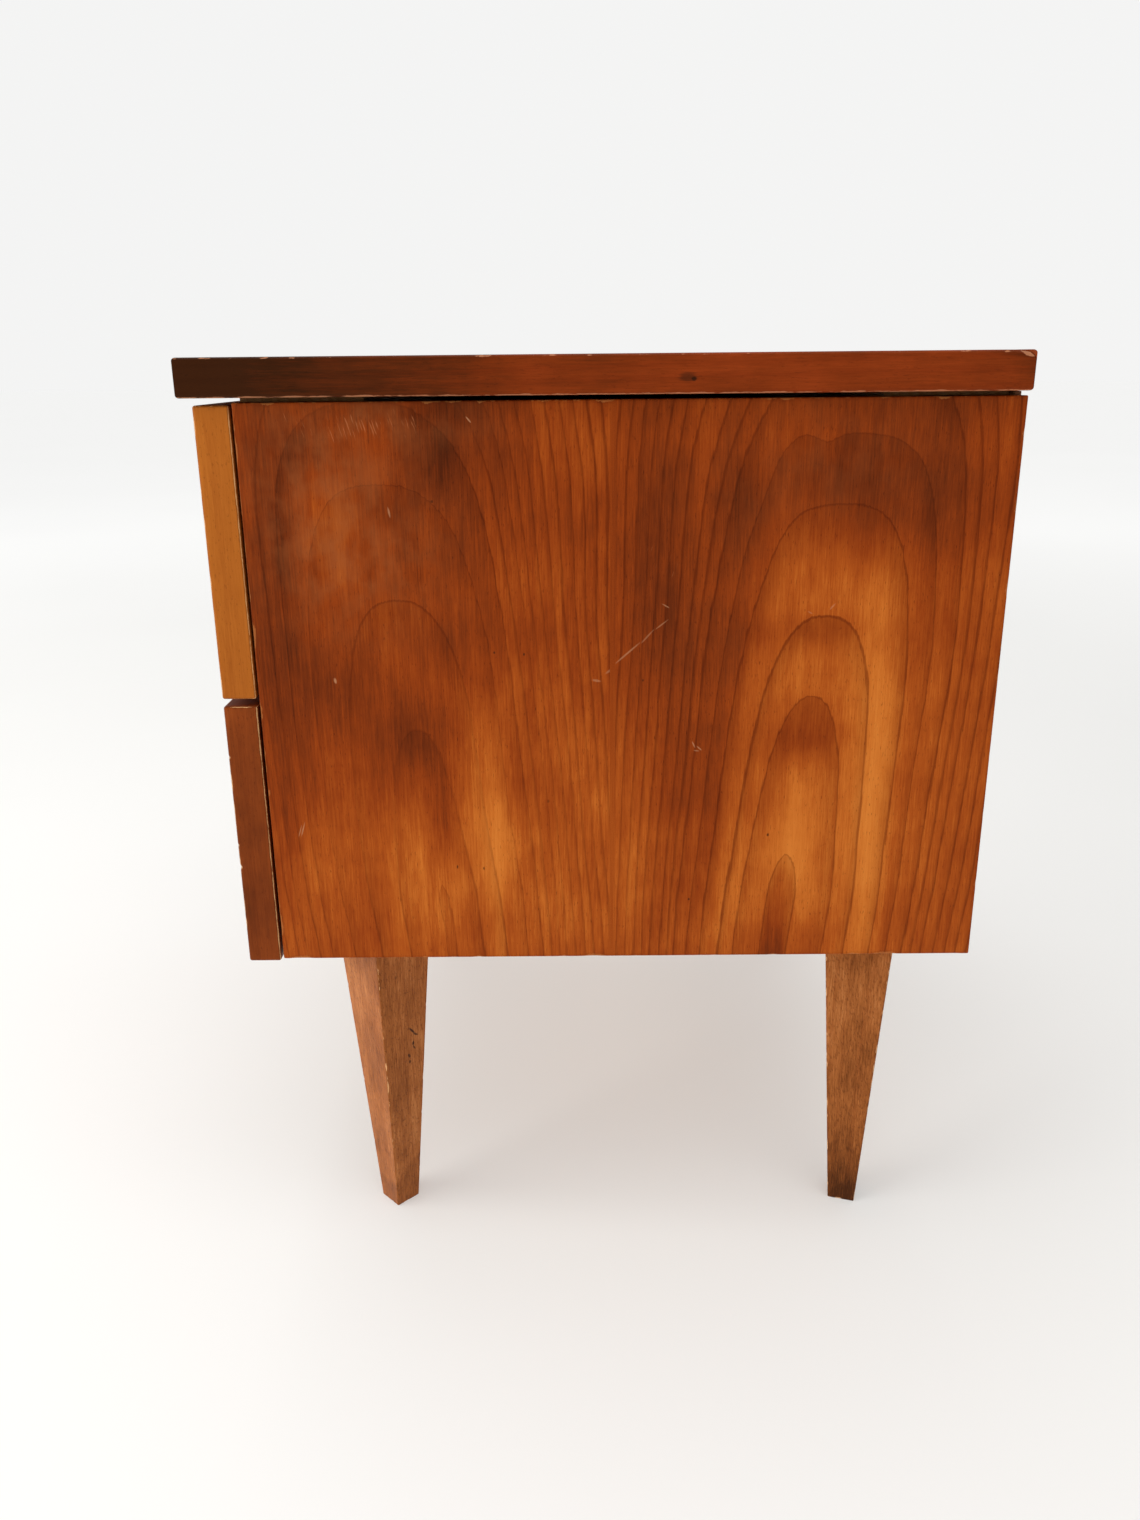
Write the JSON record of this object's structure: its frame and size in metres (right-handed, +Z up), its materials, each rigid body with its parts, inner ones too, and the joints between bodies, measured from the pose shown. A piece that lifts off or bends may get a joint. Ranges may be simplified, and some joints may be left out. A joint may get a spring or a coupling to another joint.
{
  "type": "nightstand",
  "caption": "Small veneered bedside cabinet: drawers on wooden runners under a floating top, carried by square tapered legs that screw in.",
  "frame": {"origin": "on the floor, under the middle of the whole object's box, knobs included", "axes": "+Z up from the feet to the top, +X to the right as seen by someone facing the drawers (the side the picture shows), the drawers open towards -Y, +Y to the back"},
  "size_m": [0.45, 0.4166, 0.502],
  "materials": {
    "side_veneer": "satin lacquer over orange-brown veneer with cathedral figure",
    "top_veneer": "satin lacquer over red-brown veneer",
    "edge_lipping": "satin lacquer over dark red-brown solid wood",
    "front_honey": "satin lacquer over honey-coloured veneer",
    "front_brown": "satin lacquer over brown veneer",
    "leg_wood": "worn lacquer over stained beech",
    "carcass_wood": "bare softwood and board",
    "drawer_wood": "bare beech",
    "hardboard": "bare hardboard",
    "knob_wood": "satin lacquer over turned dark wood",
    "steel": "plain zinc-plated steel"
  },
  "bodies": {
    "carcass": {"top_panel": "top_veneer", "top_lipping_front": "edge_lipping", "top_lipping_right": "edge_lipping", "top_lipping_rear": "edge_lipping", "top_lipping_left": "edge_lipping", "side_panel_left": "side_veneer", "side_panel_right": "side_veneer", "bottom_panel": "carcass_wood", "top_rail_front": "carcass_wood", "top_rail_rear": "carcass_wood", "mid_rail": "carcass_wood", "back_panel": "hardboard", "runner_upper_left": "carcass_wood", "runner_screw_upper_left_front": "steel", "runner_screw_upper_left_rear": "steel", "runner_upper_right": "carcass_wood", "runner_screw_upper_right_front": "steel", "runner_screw_upper_right_rear": "steel", "runner_lower_left": "carcass_wood", "runner_screw_lower_left_front": "steel", "runner_screw_lower_left_rear": "steel", "runner_lower_right": "carcass_wood", "runner_screw_lower_right_front": "steel", "runner_screw_lower_right_rear": "steel", "top_screw_front_left": "steel", "top_screw_front_right": "steel", "top_screw_rear_left": "steel", "top_screw_rear_right": "steel", "leg_front_right": "leg_wood", "leg_bolt_front_right": "steel", "leg_nut_front_right": "steel", "leg_rear_right": "leg_wood", "leg_bolt_rear_right": "steel", "leg_nut_rear_right": "steel", "leg_front_left": "leg_wood", "leg_bolt_front_left": "steel", "leg_nut_front_left": "steel", "leg_rear_left": "leg_wood", "leg_bolt_rear_left": "steel", "leg_nut_rear_left": "steel"},
    "upper_drawer": {"upper_drawer_front": "front_honey", "upper_drawer_inner_front": "drawer_wood", "upper_drawer_side_left": "drawer_wood", "upper_drawer_side_right": "drawer_wood", "upper_drawer_back": "drawer_wood", "upper_drawer_bottom": "hardboard", "upper_knob": "knob_wood", "upper_knob_screw": "steel", "upper_front_screw_left": "steel", "upper_front_screw_right": "steel"},
    "lower_drawer": {"lower_drawer_front": "front_brown", "lower_drawer_inner_front": "drawer_wood", "lower_drawer_side_left": "drawer_wood", "lower_drawer_side_right": "drawer_wood", "lower_drawer_back": "drawer_wood", "lower_drawer_bottom": "hardboard", "lower_knob": "knob_wood", "lower_knob_screw": "steel", "lower_front_screw_left": "steel", "lower_front_screw_right": "steel"}
  },
  "joints": [
    {"name": "upper_drawer_slide", "type": "slide", "parent": "carcass", "child": "upper_drawer", "axis": [0, -1, 0], "range_m": [0, 0.24]},
    {"name": "lower_drawer_slide", "type": "slide", "parent": "carcass", "child": "lower_drawer", "axis": [0, -1, 0], "range_m": [0, 0.24]}
  ]
}
